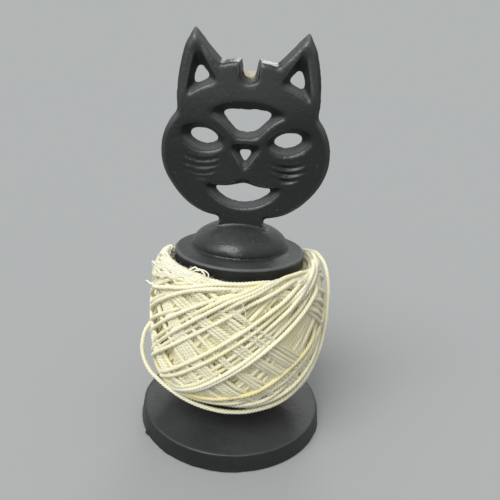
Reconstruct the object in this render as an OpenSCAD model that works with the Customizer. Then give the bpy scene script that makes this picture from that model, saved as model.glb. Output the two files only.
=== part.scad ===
// Counter-top string holder: a cast iron foot with a steel spindle, a ball of cotton string that turns on
// it, and a cast head that screws down over the ball and carries the string cutter behind its notch.
// Millimetres, +Z up, origin at the middle of the foot's underside. The face looks along -Y.

/* [Foot] */
// Diameter of the foot where it stands
base_d = 100; // [90:1:110]
// Diameter of the foot's top rim
rim_d = 97.5; // [88:0.5:108]
// Height of the foot
base_h = 9.2; // [8.6:0.1:14]
// Rounding of the foot's top rim
rim_round = 0.9; // [0.4:0.1:2]
// Width of the ring that the foot stands on
foot_ring = 7; // [4:0.5:12]
// Depth of the hollow inside that ring
foot_hollow = 1.6; // [0.8:0.1:2]

/* [Spindle] */
// Diameter of the rod that the ball turns on
spindle_d = 9.5; // [9:0.1:10.5]
// Diameter of the rod's two threaded ends
thread_d = 7.86; // [7:0.02:8]
// Length of the thread that enters the head
thread_l = 13; // [10:0.5:14]

/* [Head] */
// Height of the flange's underside above the table
flange_z = 92; // [90:0.5:94]
// Diameter of the flange
flange_d = 66.2; // [64:0.2:67]
// Thickness of the flange at its edge
flange_t = 6.4; // [5:0.1:7]
// Diameter of the dome on the flange
dome_d = 49; // [46:0.5:52]
// Height of the dome above the flange
dome_h = 12.2; // [11:0.1:13]
// Thickness of the face plate
plate_t = 6.8; // [5.5:0.1:8]
// How far the plate's outline draws in from its back to its front
plate_draft = 2.2; // [1:0.1:2.4]

/* [Cutter] */
// Width of the cutter blade
blade_w = 17; // [14:0.5:20]
// Height of the blade's edge above the table
blade_top = 184.4; // [183.6:0.1:185.5]
// Thickness of the blade
blade_t = 0.8; // [0.5:0.1:1.2]

/* [String] */
// Thickness of the string
string_d = 2; // [1.6:0.1:2.2]
// Largest diameter of the ball under its outer layer
ball_d = 84.4; // [80:0.2:86]
// Height of the ball's widest place above the table
ball_mid = 60; // [56:0.5:62]
// Turns in each of the two outer layers
turns = 10; // [7:1:10]
// Rise and fall of a turn to either side of its middle
turn_rise = 24; // [18:0.5:25]
// Distance from one turn's middle to the next, upwards
turn_step = 2.85; // [2.8:0.05:2.9]

/* [Hidden] */
iron = "#2c2e30";
steel = "#b4b6b8";
cotton = "#f0ecd4";
round_fn = 96;

// foot and spindle
hole_r = 4;
counterbore_r = 11;
counterbore_h = 5.2;
washer_t = 1;
nut_af = 13;
nut_h = 4;
spindle_low = 0.4;
core_r = 6;
core_wall = 1.4;
spin_gap = 0.3;

// head: heights along the axis, and the neck's foot on the dome
flange_top = flange_z + flange_t;
flange_cone = 1.9;
flange_round = 1;
dome_z = flange_top + flange_cone;
dome_steps = 12;
neck_w = 22.2;
neck_flare = 1.9;
neck_foot_z = dome_z + 8.6;
neck_foot_h = 7.4;
neck_sink = 1.2;
head_bore_h = thread_l + 1.5;

// face plate: rows of [x, z, bow of the edge to the next row, pieces of that edge], right half, upwards
face_rows = [
    [0, 106.5, 0, 1], [10.9, 107, 0, 1], [10.9, 113.2, -0.7, 5], [13.2, 115.5, 2.8, 9], [35, 128.6, 6.9, 15],
    [33.7, 165.1, 1.5, 7], [30.3, 194.6, 0, 1], [25.8, 202.7, 0, 3], [12.6, 188.5, 0.2, 2],
    [6, 189.8, 0, 1], [0, 190, 0, 1]];
edge_depth = 0.9;
edge_round = 1;
corner_cut = 1;
neck_draft = 0.35;

// openings in the plate: the rows of each at the plate's front, and the same rows at its back
forehead_front = [[0, 153.6, 0, 2], [5.6, 153.7, -1.7, 7], [20, 165.1, 1.9, 7], [0, 170.9, 0, 1]];
forehead_back = [[0, 157.3, 0, 2], [4.4, 157.3, -0.3, 7], [12.4, 165.9, 0.6, 7], [0, 166.8, 0, 1]];
eye_front = [[8.2, 150.6, 7, 9], [33, 156.6, 6.6, 9]];
eye_back = [[12.6, 153, 3.5, 9], [27.6, 155.7, 3.1, 9]];
ear_front = [[13.1, 178.1, -1.2, 6], [29.3, 170.4, 0.5, 7], [24.4, 195.2, 0, 7]];
ear_back = [[18, 180.6, -0.2, 6], [26, 177.2, 0.4, 7], [23.1, 186.8, 0, 7]];
nose_front = [[0, 138.3, -0.4, 6], [8.9, 151.3, 0, 4], [0, 151.8, 0, 1]];
nose_back = [[0, 142.8, 0, 6], [3, 148.2, 0, 4], [0, 148.2, 0, 1]];
mouth_front = [[0, 120.2, 3.3, 8], [20.2, 132.4, -2.4, 7], [0, 135.7, 0, 1]];
mouth_back = [[0, 123.2, 2, 8], [14.2, 130.3, -1, 7], [0, 132.4, 0, 1]];
notch_front = [[0, 177.6, 2.2, 4], [4.6, 183.4, 0, 2], [5.6, 192, 0, 1], [0, 192, 0, 1]];
notch_back = [[0, 181.8, 0.9, 4], [2.7, 184.6, 0, 2], [3.9, 192, 0, 1], [0, 192, 0, 1]];
wall_break = 0.2;
cut_past = 1.2;

// whisker grooves: [x and z of the inner end, x and z of the outer end, sag]
whiskers = [[12.6, 143.4, 28.2, 143.9, 2.3], [12.6, 140.2, 28.6, 140.4, 2], [14.4, 136.9, 26, 136.7, 1.9]];
whisker_r = 1.15;
whisker_lift = 0.35;
whisker_steps = 8;

// cutter screws
screw_x = 5.6;
screw_z = 178.6;
screw_r = 1.1;
screw_head_r = 2;
screw_head_h = 1.2;
screw_l = 4;

// string: the ball's rounding, and the two wound layers
ball_low = 12;
ball_high = 97.5;
ball_bottom_power = 2.6;
ball_top_power = 4.6;
ball_rings = 10;
string_r = string_d/2;
sink = 0.2;
layer_gap = 0.45;
turn_rings = 24;
string_sides = 6;
top_turn = ball_mid + 7;

// slack turn, from where it leaves the upper layer: [angle, height, distance off the upper layer's level]
slack_rows = [
    [24, 62, 2.6], [80, 64.5, 2.6], [140, 63, 2.6], [178, 60, 3.6], [198, 46, 4.3], [216, 33, 3.6],
    [236, 28, 2.6], [262, 27.5, 0.9], [290, 31, 0.3], [318, 43, 0.6], [338, 56, 2.2], [350, 68, 3.3],
    [362, 84, 3.3]];

function mix(a, b, t) = a + (b - a)*t;
function smooth(t) = let (c = min(max(t, 0), 1)) c*c*(3 - 2*c);

// Points from a to b, without b, on an arc that bows to the right of the way by s
function arc(a, b, s, n) =
    abs(s) < 0.01 ? [for (i = [0:n-1]) mix(a, b, i/n)] :
    let (h = norm(b - a)/2, u = (b - a)/(2*h), v = [u[1], -u[0]]*sign(s),
         r = (h*h + s*s)/(2*abs(s)), o = (a + b)/2 - v*(r - abs(s)), w = asin(h/r))
    [for (i = [0:n-1]) let (t = w*(2*i/n - 1)) o + r*(v*cos(t) + u*sin(t))];

// Closed outline from rows of [x, z, bow, pieces], counter-clockwise
function outline(rows) = [for (i = [0:len(rows)-1])
    let (a = rows[i], b = rows[(i + 1) % len(rows)]) each arc([a[0], a[1]], [b[0], b[1]], a[2], a[3])];

// Rows of a right half, from the axis up to the axis again, completed with their mirror image
function both_sides(rows) = let (k = len(rows) - 1) concat(
    [for (i = [0:k-1]) rows[i]],
    [for (i = [k:-1:1]) [-rows[i][0], rows[i][1], rows[i-1][2], rows[i-1][3]]]);

// Outline with its corners eased, k times over
function eased(p, k) = k == 0 ? p : let (n = len(p))
    eased([for (i = [0:n-1]) (p[(i + n - 1) % n] + 2*p[i] + p[(i + 1) % n])/4], k - 1);

// Outline drawn in by d on every side, and less so round the neck
function drawn_in(p, d) = let (n = len(p)) [for (i = [0:n-1])
    let (u = p[i] - p[(i + n - 1) % n], v = p[(i + 1) % n] - p[i], a = [-u[1], u[0]]/norm(u),
         b = [-v[1], v[0]]/norm(v), e = d*mix(neck_draft, 1, smooth((p[i][1] - 114)/14)))
    p[i] + (a + b)*e/(1 + a*b)];

// Outline with every corner cut back by e and rounded
function softened(p, e) = let (n = len(p)) [for (i = [0:n-1])
    let (a = p[(i + n - 1) % n] - p[i], b = p[(i + 1) % n] - p[i], u = a/norm(a), v = b/norm(b))
    each (u*v > -cos(25) ? [p[i] + e*u, p[i] + 0.3*e*(u + v), p[i] + e*v] : [p[i]])];

// Outline in x and z, set up at the depth y
function at_depth(p, y) = [for (q = p) [q[0], y, q[1]]];

// Triangles that fill a counter-clockwise outline p, cut off corner by corner; t lists the corners left
function ears(p, t) = len(t) == 3 ? [t] : let (n = len(t), i = next_ear(p, t, 0))
    concat([[t[(i + n - 1) % n], t[i], t[(i + 1) % n]]], ears(p, [for (k = [0:n-1]) if (k != i) t[k]]));
function next_ear(p, t, i) = i == len(t) - 1 || is_ear(p, t, i) ? i : next_ear(p, t, i + 1);
function is_ear(p, t, i) = let (n = len(t), ia = t[(i + n - 1) % n], ic = t[(i + 1) % n],
    a = p[ia], b = p[t[i]], c = p[ic]) cross(b - a, c - b) > 1e-6 && len([for (k = t)
        if (k != ia && k != t[i] && k != ic && cross(b - a, p[k] - a) > -1e-9
            && cross(c - b, p[k] - b) > -1e-9 && cross(a - c, p[k] - c) > -1e-9) k]) == 0;
function filled(ring) = ears([for (q = ring) [q[0], q[2]]], [for (j = [0:len(ring)-1]) j]);

// Skin over a row of closed rings with equal numbers of points; upright says that its ends stand in x and z
module skin(rings, upright = true) {
    n = len(rings[0]);
    last = len(rings) - 1;
    sides = [for (i = [0:last-1], j = [0:n-1])
        let (a = i*n + j, b = i*n + (j + 1) % n) each [[a, b + n, b], [a, a + n, b + n]]];
    fan = [for (j = [1:n-2]) [0, j, j + 1]];
    start = upright ? filled(rings[0]) : fan;
    end = upright ? filled(rings[last]) : fan;
    polyhedron([for (ring = rings) each ring],
        concat(sides, start, [for (t = end) [t[2] + last*n, t[1] + last*n, t[0] + last*n]]), convexity = 12);
}

// Opening through the plate, from its front outline to its back one, with the front edge broken
module opening(front, back, front_ease = 1, back_ease = 3) {
    f = eased(outline(front), front_ease);
    b = eased(outline(back), back_ease);
    break_y = edge_depth - plate_t;
    wall = (1 - wall_break)/(0 - break_y);
    lip = wall_break/edge_depth;
    skin([at_depth(mix(f, b, 1 + wall*cut_past), cut_past), at_depth(mix(f, b, wall_break), break_y),
        at_depth(mix(f, b, -lip*cut_past), -plate_t - cut_past)]);
}

// Both of a pair that mirror each other
module pair() {
    children();
    mirror([1, 0, 0]) children();
}

// Shallow groove along an arc, running out at both ends
module whisker(row) {
    line = arc([row[0], row[1]], [row[2], row[3]], row[4], whisker_steps);
    path = concat(line, [[row[2], row[3]]]);
    skin([for (i = [0:whisker_steps])
        let (a = path[max(i - 1, 0)], b = path[min(i + 1, whisker_steps)], u = (b - a)/norm(b - a),
             r = whisker_r*(0.35 + 0.65*sin(180*i/whisker_steps)), v = [-u[1], u[0]])
        [for (j = [0:5]) [path[i][0] + v[0]*r*cos(60*j), -plate_t - whisker_lift + r*sin(60*j),
            path[i][1] + v[1]*r*cos(60*j)]]], upright = false);
}

module face_plate() {
    edge = outline(both_sides(face_rows));
    difference() {
        skin([for (d = [[0, 0], [plate_draft, edge_depth - plate_t], [plate_draft + edge_round, -plate_t]])
            at_depth(softened(drawn_in(edge, d[0]), corner_cut), d[1])]);
        opening(both_sides(forehead_front), both_sides(forehead_back), 1, 3);
        opening(both_sides(nose_front), both_sides(nose_back), 1, 2);
        opening(both_sides(mouth_front), both_sides(mouth_back), 1, 1);
        opening(both_sides(notch_front), both_sides(notch_back), 0, 0);
        pair() opening(eye_front, eye_back, 1, 2);
        pair() opening(ear_front, ear_back, 1, 4);
        for (row = whiskers) pair() whisker(row);
    }
}

// Flange and dome, turned about the spindle's axis
module flange() {
    dome = [for (i = [0:dome_steps]) let (t = 90*i/dome_steps)
        [dome_d/2*cos(t), dome_z + dome_h*sin(t)]];
    r = flange_d/2;
    rotate_extrude($fn = round_fn) polygon(concat([[0, flange_z], [r - flange_round, flange_z],
        [r, flange_z + flange_round], [r, flange_top - flange_round],
        [r - 0.3*flange_round, flange_top - 0.3*flange_round], [r - flange_round, flange_top]], dome));
}

// Flare where the neck grows out of the dome
module neck_foot() {
    hull() {
        translate([-neck_w/2 - neck_flare, -plate_t - neck_flare, neck_foot_z])
            cube([neck_w + 2*neck_flare, plate_t + 2*neck_flare, 0.5]);
        translate([-neck_w/2 + neck_sink, -plate_t + neck_sink, neck_foot_z + neck_foot_h])
            cube([neck_w - 2*neck_sink, plate_t - 2*neck_sink, 0.5]);
    }
}

module head_casting() {
    color(iron) difference() {
        union() {
            face_plate();
            neck_foot();
            flange();
        }
        translate([0, 0, flange_z - 1]) cylinder(r = hole_r, h = head_bore_h + 1, $fn = round_fn);
        pair() translate([screw_x, 1, screw_z]) rotate([90, 0, 0])
            cylinder(r = screw_r, h = screw_l + 1, $fn = 32);
    }
}

module base_casting() {
    r = base_d/2;
    rim = rim_d/2;
    color(iron) rotate_extrude($fn = round_fn) polygon([
        [hole_r, counterbore_h], [counterbore_r, counterbore_h], [counterbore_r, foot_hollow],
        [r - foot_ring, foot_hollow], [r - foot_ring + 0.8, 0], [r - 0.5, 0], [r, 0.5],
        [rim, base_h - rim_round], [rim - 0.3*rim_round, base_h - 0.3*rim_round], [rim - rim_round, base_h],
        [hole_r, base_h]]);
}

module spindle() {
    color(steel) union() {
        translate([0, 0, spindle_low])
            cylinder(d = thread_d, h = flange_z + thread_l - spindle_low, $fn = 64);
        translate([0, 0, base_h]) cylinder(d = spindle_d, h = flange_z - base_h, $fn = 64);
    }
}

module base_washer() {
    color(steel) translate([0, 0, counterbore_h - washer_t]) difference() {
        cylinder(r = counterbore_r - 1.5, h = washer_t, $fn = 64);
        translate([0, 0, -1]) cylinder(r = hole_r + 0.2, h = washer_t + 2, $fn = 64);
    }
}

module base_nut() {
    color(steel) translate([0, 0, counterbore_h - washer_t - nut_h + 0.3]) difference() {
        cylinder(d = nut_af/cos(30), h = nut_h - 0.3, $fn = 6);
        translate([0, 0, -1]) cylinder(d = thread_d, h = nut_h + 2, $fn = 64);
    }
}

module cutter_blade() {
    h = blade_top - screw_z;
    color(steel) difference() {
        rotate([90, 0, 90]) translate([0, screw_z, -blade_w/2]) linear_extrude(blade_w)
            polygon([[0, -2.6], [blade_t, -2.6], [blade_t, h - 1], [0.1, h], [0, h]]);
        pair() translate([screw_x, blade_t + 1, screw_z]) rotate([90, 0, 0])
            cylinder(r = screw_r, h = blade_t + 2, $fn = 32);
    }
}

module cutter_screws() {
    color(steel) pair() translate([screw_x, blade_t, screw_z]) {
        rotate([90, 0, 0]) cylinder(r = screw_r, h = blade_t + screw_l - 0.4, $fn = 32);
        rotate([-90, 0, 0]) cylinder(r1 = screw_head_r, r2 = 0.7*screw_head_r, h = screw_head_h, $fn = 32);
    }
}

module core_tube() {
    color("#c8a878") translate([0, 0, base_h + spin_gap]) difference() {
        cylinder(r = core_r + core_wall, h = flange_z - base_h - 2*spin_gap, $fn = round_fn);
        translate([0, 0, -1]) cylinder(r = core_r, h = flange_z - base_h + 2, $fn = round_fn);
    }
}

// Half height, rounding power and radius of the ball at the height z
function ball_half(z) = z < ball_mid ? ball_mid - ball_low : ball_high - ball_mid;
function ball_power(z) = z < ball_mid ? ball_bottom_power : ball_top_power;
function ball_r(z) = let (k = ball_power(z), q = min(abs(z - ball_mid)/ball_half(z), 1))
    ball_d/2*pow(1 - pow(q, k), 1/k);

// Point at the distance d outside the ball's profile at the height z, square to it
function off_ball(z, d) = let (e = 0.2, s = (ball_r(z + e) - ball_r(z - e))/(2*e), u = [1, -s]/norm([1, s]))
    [ball_r(z), z] + d*u;

module string_ball() {
    well_r = flange_d/2 + 0.8;
    well_z = flange_z - spin_gap;
    low = [for (i = [1:ball_rings]) let (t = i/ball_rings, z = mix(ball_low, ball_mid, t*t*(2 - t)))
        [ball_r(z), z]];
    high = [for (i = [1:ball_rings/2])
        let (t = 1 - pow(1 - 2*i/ball_rings, 2), z = mix(ball_mid, ball_high, t))
        if (ball_r(z) > well_r + 0.3) [ball_r(z), z]];
    top = high[len(high) - 1][1];
    color(cotton) rotate_extrude($fn = round_fn) polygon(concat(
        [[core_r + core_wall, ball_low], [12, ball_low]], low, high,
        [[well_r, top], [well_r, well_z], [core_r + core_wall, well_z]]));
}

// Winding: u counts turns. The lower layer climbs, leaning one way, up to swing_u. There the string steps on
// top of that layer and swings to the other lean, and the upper layer comes down. The last turn hangs slack.
swing_u = turns + 0.25;
slack_u = 2*turns;
end_u = slack_u + 1;
layer_step = string_d + layer_gap;

function turn_z(u) = top_turn - turn_step*abs(u - swing_u)
    + turn_rise*(2*smooth((u - swing_u)*2) - 1)*cos(360*u);
function turn_off(u) = string_r - sink + layer_step*smooth((u - swing_u)*24);

// Value in the column c of rows at the place t, on a smooth curve through the rows
function row_slope(rows, i, c) = let (a = rows[max(i - 1, 0)], b = rows[min(i + 1, len(rows) - 1)])
    (b[c] - a[c])/(b[0] - a[0]);
function on_rows(rows, t, c) = let (i = max([for (k = [0:len(rows)-2]) if (k == 0 || t >= rows[k][0]) k]),
    a = rows[i], b = rows[i+1], h = b[0] - a[0], w = (t - a[0])/h)
    mix(a[c], b[c], w*w*(3 - 2*w))
        + h*w*(1 - w)*((1 - w)*row_slope(rows, i, c) - w*row_slope(rows, i + 1, c));

slack_from = -8;
slack_path = concat([[slack_from, turn_z(slack_u + slack_from/360), 0]], slack_rows);

function slack_place(a, c) = on_rows(slack_path, a, c);
function string_point(u) = let (a = 360*(u - slack_u), slack = a > slack_from,
    z = slack ? slack_place(a, 1) : turn_z(u), d = slack ? slack_place(a, 2) : 0,
    q = off_ball(z, turn_off(u) + d))
    [q[0]*cos(360*u), q[0]*sin(360*u), q[1]];

// Both ends run on straight by one thickness of the string
function run_on(p, q) = p + (p - q)*string_d/norm(p - q);

module string_winding() {
    turned = [for (i = [0:turn_rings*end_u]) string_point(i/turn_rings)];
    last = len(turned) - 1;
    path = concat([run_on(turned[0], turned[1])], turned, [run_on(turned[last], turned[last-1])]);
    fine = [for (i = [0:last-1], j = [0:2]) mix(turned[i], turned[i+1], j/3)];
    gaps = [for (i = [0:len(fine)-1], k = [1:end_u], j = [-4:4])
        let (m = i + 3*turn_rings*k + j) if (m < len(fine)) norm(fine[i] - fine[m]) - string_d];
    echo("least gap of the string to its other turns", min(gaps));
    color(cotton) tube(path, string_r, string_sides);
}

// Round tube along a path of points
module tube(path, r, sides) {
    n = len(path);
    skin([for (i = [0:n-1])
        let (t = path[min(i + 1, n - 1)] - path[max(i - 1, 0)], u = t/norm(t),
             out = [path[i][0], path[i][1], 0], a = cross(cross(u, out), u), v = a/norm(a), w = cross(u, v))
        [for (j = [0:sides-1]) path[i] + r*(v*cos(360*j/sides) + w*sin(360*j/sides))]], upright = false);
}

base_casting();
spindle();
base_washer();
base_nut();
head_casting();
cutter_blade();
cutter_screws();
core_tube();
string_ball();
string_winding();
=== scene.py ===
import math

import bmesh
import bpy
import numpy as np
from mathutils import Matrix, Vector


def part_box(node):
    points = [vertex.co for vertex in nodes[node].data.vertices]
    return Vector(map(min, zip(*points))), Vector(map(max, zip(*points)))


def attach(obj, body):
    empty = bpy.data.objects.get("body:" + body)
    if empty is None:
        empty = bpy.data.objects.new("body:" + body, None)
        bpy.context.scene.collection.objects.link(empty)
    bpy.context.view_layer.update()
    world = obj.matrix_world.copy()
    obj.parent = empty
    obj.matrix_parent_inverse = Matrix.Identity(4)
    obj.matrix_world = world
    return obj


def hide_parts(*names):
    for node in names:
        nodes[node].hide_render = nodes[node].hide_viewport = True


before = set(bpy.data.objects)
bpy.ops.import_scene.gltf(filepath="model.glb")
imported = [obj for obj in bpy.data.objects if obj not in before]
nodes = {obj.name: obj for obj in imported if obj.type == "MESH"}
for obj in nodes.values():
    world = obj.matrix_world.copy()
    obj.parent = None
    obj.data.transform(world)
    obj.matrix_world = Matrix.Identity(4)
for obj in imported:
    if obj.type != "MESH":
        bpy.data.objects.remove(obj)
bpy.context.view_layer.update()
mm = 0.001  # lengths are in millimetres up to the call that makes a mesh of them
scene = bpy.context.scene
scene.view_settings.view_transform = "Standard"
print("frame loaded:", ", ".join(sorted(nodes)))


# Camera, floor and light

viewpoint = {
    "place": (9.1, -239.9, 177.3),  # millimetres, in the frame of the holder
    "heading": -0.91,  # degrees from straight along +Y, to the right
    "pitch": 18.41,  # degrees downwards
    "roll": 3.76,  # degrees
    "lens": 35.2,
}


def makeCamera(v):
    h, p, r = (math.radians(v[k]) for k in ("heading", "pitch", "roll"))
    look = Vector((math.sin(h) * math.cos(p), math.cos(h) * math.cos(p), -math.sin(p)))
    right = look.cross(Vector((0, 0, 1))).normalized()
    up = right.cross(look)
    tiltedRight = right * math.cos(r) + up * math.sin(r)
    tiltedUp = up * math.cos(r) - right * math.sin(r)
    data = bpy.data.cameras.new("camera")
    data.lens = v["lens"]
    data.sensor_width = 36
    camera = bpy.data.objects.new("camera", data)
    turn = Matrix((tiltedRight, tiltedUp, -look)).transposed().to_4x4()
    camera.matrix_world = Matrix.Translation(Vector(v["place"]) * mm) @ turn
    scene.collection.objects.link(camera)
    scene.camera = camera


studio = {
    "floor": (0.332, 0.345, 0.347),
    "floorRadius": 40.0,  # metres
    "bounce": (0.155, 0.16, 0.165),  # the floor's colour for light that comes off it onto the holder
    "backdrop": (0.4463, 0.4638, 0.4615),  # seen past the floor's edge, in the tone that the far floor has
    "sky": (0.625, 0.62, 0.61),
    "skyPower": 0.92,
    "suns": {  # name: where from, power and degrees across, wide for soft shadows
        "key": ((-0.42, -0.62, 1.0), 2.1, 38),
        "front": ((-0.20, -0.95, 0.52), 0.46, 26),
        "left": ((-0.60, -0.30, 0.39), 0.30, 30),
        "behind": ((0.06, 1.0, 0.80), 0.60, 24),
    },
}


def makeStudio(s):
    world = Finish(bpy.data.worlds.new("studio"))
    light = world.node("ShaderNodeBackground", None, {"Color": (*s["sky"], 1), "Strength": s["skyPower"]})
    seen = world.node("ShaderNodeBackground", None, {"Color": (*s["backdrop"], 1)})
    either = world.node("ShaderNodeMixShader", None, {0: world.shown(), 1: light, 2: seen})
    world.node("ShaderNodeOutputWorld", None, {"Surface": either})
    scene.world = world.owner
    for name, (place, power, size) in s["suns"].items():
        data = bpy.data.lights.new(name, "SUN")
        data.energy = power
        data.angle = math.radians(size)
        lamp = bpy.data.objects.new(name, data)
        lamp.location = place
        lamp.rotation_mode = "QUATERNION"
        lamp.rotation_quaternion = Vector(place).to_track_quat("Z", "Y")
        scene.collection.objects.link(lamp)
    # a flat disc: a ring's radius grows with the square of its number, so that rings are finest in the middle
    rings, segments = 12, 64
    points = revolve(np.linspace(0.02, 1, rings)[:, None] ** 2 * s["floorRadius"], 0.0, segments)
    faces = [gridFaces(rings, segments)[:, ::-1], fanFaces(range(segments))]
    addPiece("floor", points.reshape(-1, 3), faces, floorFinish(s))


# Mesh helpers

def gridFaces(rows, columns, closedRows=False, closedColumns=True):
    # quads (i, j), (i, j+1), (i+1, j+1), (i+1, j) over a grid whose points are numbered row by row
    i, j = np.meshgrid(np.arange(rows if closedRows else rows - 1),
                       np.arange(columns if closedColumns else columns - 1), indexing="ij")
    below, beside = (i + 1) % rows, (j + 1) % columns
    quads = [i * columns + j, i * columns + beside, below * columns + beside, below * columns + j]
    return np.stack(quads, -1).reshape(-1, 4)


def fanFaces(ring):
    # triangles from the ring's first point to each of its other edges
    ring = np.asarray(ring)
    return np.stack([np.full(len(ring) - 2, ring[0]), ring[1:-1], ring[2:]], -1)


def addPiece(name, points, faces, finish, values=None, uv=None):
    # points (n, 3) in metres; faces is a list of index arrays, each (m, 3) or (m, 4)
    mesh = bpy.data.meshes.new(name)
    points = np.ascontiguousarray(points, dtype=np.float32)
    mesh.vertices.add(len(points))
    mesh.vertices.foreach_set("co", points.ravel())
    corners = np.concatenate([f.ravel() for f in faces]).astype(np.int32)
    sizes = np.concatenate([np.full(len(f), f.shape[1]) for f in faces])
    starts = np.concatenate([[0], np.cumsum(sizes)[:-1]]).astype(np.int32)
    mesh.loops.add(len(corners))
    mesh.loops.foreach_set("vertex_index", corners)
    mesh.polygons.add(len(sizes))
    mesh.polygons.foreach_set("loop_start", starts)
    mesh.polygons.foreach_set("use_smooth", np.ones(len(sizes), bool))
    if uv is not None:
        layer = mesh.uv_layers.new(name="along")
        corner = uv[corners]
        highest = np.repeat(np.maximum.reduceat(corner[:, 0], starts), sizes)
        corner[:, 0] += (highest - corner[:, 0] > 0.5)  # faces that cross from the last column to the first
        layer.data.foreach_set("uv", np.ascontiguousarray(corner, dtype=np.float32).ravel())
    addValues(mesh, values or {})
    mesh.update(calc_edges=True)
    mesh.validate()
    mesh.materials.append(finish)
    piece = bpy.data.objects.new(name, mesh)
    scene.collection.objects.link(piece)
    return piece


def addValues(mesh, values):
    # point attributes, each with a value for every point or one for all
    for key, value in values.items():
        value = np.ascontiguousarray(np.broadcast_to(np.ravel(value), len(mesh.vertices)), dtype=np.float32)
        mesh.attributes.new(key, "FLOAT", "POINT").data.foreach_set("value", value)


def addClosed(name, surface, finish, values=None):
    # a surface in millimetres that is closed along both of its parameters
    faces = gridFaces(*surface.shape[:2], closedRows=True)
    return addPiece(name, surface.reshape(-1, 3) * mm, [faces], finish, values)


def boxOf(name):
    # low and high corner of a CAD piece, millimetres
    return np.array(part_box(name)) / mm


def dress(name, finish):
    # a CAD piece that keeps its mesh gets its material
    nodes[name].data.materials.clear()
    nodes[name].data.materials.append(finish)


def settle(piece, body, replaced, sharp=None):
    # sharp is the angle in degrees from which the piece's edges are shown sharp
    if sharp:
        piece.data.set_sharp_from_angle(angle=math.radians(sharp))
    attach(piece, body)
    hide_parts(replaced)


def polar(r, a, z):
    # points (r cos a, r sin a, z)
    return np.stack(np.broadcast_arrays(r * np.cos(a), r * np.sin(a), z), -1)


def revolve(r, z, segments):
    # the surface that goes once round; r and z have a row for each ring
    return polar(r, circle(segments), z)


def ripple(points, lengths, seed):
    # smooth random field from -1 to 1 or so: a sum of plane waves in random directions, with wavelengths
    # between lengths[0] and lengths[1] millimetres, divided by the square root of half their number
    waves = 36
    draw = np.random.default_rng(seed)
    way = unit(draw.normal(size=(waves, 3)))
    way *= (2 * np.pi / draw.uniform(*lengths, waves))[:, None]
    phase = draw.uniform(0, 2 * np.pi, waves)
    total = np.zeros(len(points))
    for k in range(waves):
        total += np.sin(points @ way[k] + phase[k])
    return total / math.sqrt(waves / 2)


def circle(count):
    # even angles, once round
    return np.arange(count) * (2 * np.pi / count)


def unit(v):
    return v / np.linalg.norm(v, axis=-1)[..., None]


def lengthAlong(path):
    return np.concatenate([[0], np.cumsum(np.linalg.norm(np.diff(path, axis=0), axis=1))])


def ramp(t):
    # 0 below 0, 1 above 1, t^2 (3 - 2 t) between
    t = np.clip(t, 0, 1)
    return t * t * (3 - 2 * t)


def hump(t, width):
    # e to the minus square of t / width
    return np.exp(-(t / width) ** 2)


def smoothCurve(x, y, places):
    # Catmull-Rom curve through the rows of y at the rising values x, read at the given places
    slope = np.gradient(y, x, axis=0)
    i = np.clip(np.searchsorted(x, places, side="right") - 1, 0, len(x) - 2)
    h = x[i + 1] - x[i]
    t = ((places - x[i]) / h)[:, None]
    h = h[:, None]
    return ((1 + 2 * t) * (1 - t) ** 2 * y[i] + t * (1 - t) ** 2 * h * slope[i]
            + t * t * (3 - 2 * t) * y[i + 1] + t * t * (t - 1) * h * slope[i + 1])


def curveThrough(rows, count):
    # count points of a smooth curve through the rows, as many between any two
    rows = np.asarray(rows, float)
    last = len(rows) - 1
    return smoothCurve(np.arange(last + 1.0), rows, np.linspace(0, last, count))


def rounded(profile, radius, pieces):
    # each inner corner of a profile becomes a quadratic curve that starts and ends at most radius from it
    p = np.asarray(profile, float)
    out = [p[:1]]
    for a, b, c in zip(p[:-2], p[1:-1], p[2:]):
        u, v = a - b, c - b
        lu, lv = np.linalg.norm(u), np.linalg.norm(v)
        cut = min(radius, 0.45 * lu, 0.45 * lv)
        t = np.linspace(0, 1, pieces)[:, None]
        start, end = b + u / lu * cut, b + v / lv * cut
        out.append((1 - t) ** 2 * start + 2 * t * (1 - t) * b + t * t * end)
    out.append(p[-1:])
    return np.concatenate(out)


def refined(profile, step):
    # points put in along a profile so that none of its edges is longer than step
    p = np.asarray(profile, float)
    out = []
    for a, b in zip(p[:-1], p[1:]):
        n = max(1, int(np.ceil(np.linalg.norm(b - a) / step)))
        out.append(a + (b - a) * (np.arange(n) / n)[:, None])
    return np.concatenate(out + [p[-1:]])


# Shader maths

class Wire:
    # an output socket that is used in expressions: each operator adds one Math node to its material
    def __init__(self, finish, socket):
        self.finish = finish
        self.socket = socket

    def maths(self, kind, *others, clamp=False):
        links = dict(enumerate((self, *others)))
        return self.finish.node("ShaderNodeMath", {"operation": kind, "use_clamp": clamp}, links)

    def __add__(self, other):
        return self.maths("ADD", other)

    def __sub__(self, other):
        return self.maths("SUBTRACT", other)

    def __mul__(self, other):
        return self.maths("MULTIPLY", other)

    def __rsub__(self, other):
        return self.finish.node("ShaderNodeMath", {"operation": "SUBTRACT"}, {0: other, 1: self})

    __radd__ = __add__
    __rmul__ = __mul__

    def clamped(self):
        return self.maths("ADD", 0.0, clamp=True)

    def between(self, low, high):
        # 0 below low, 1 above high, smooth between
        links = {"Value": self, "From Min": low, "From Max": high}
        return self.finish.node("ShaderNodeMapRange", {"interpolation_type": "SMOOTHSTEP"}, links)


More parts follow.
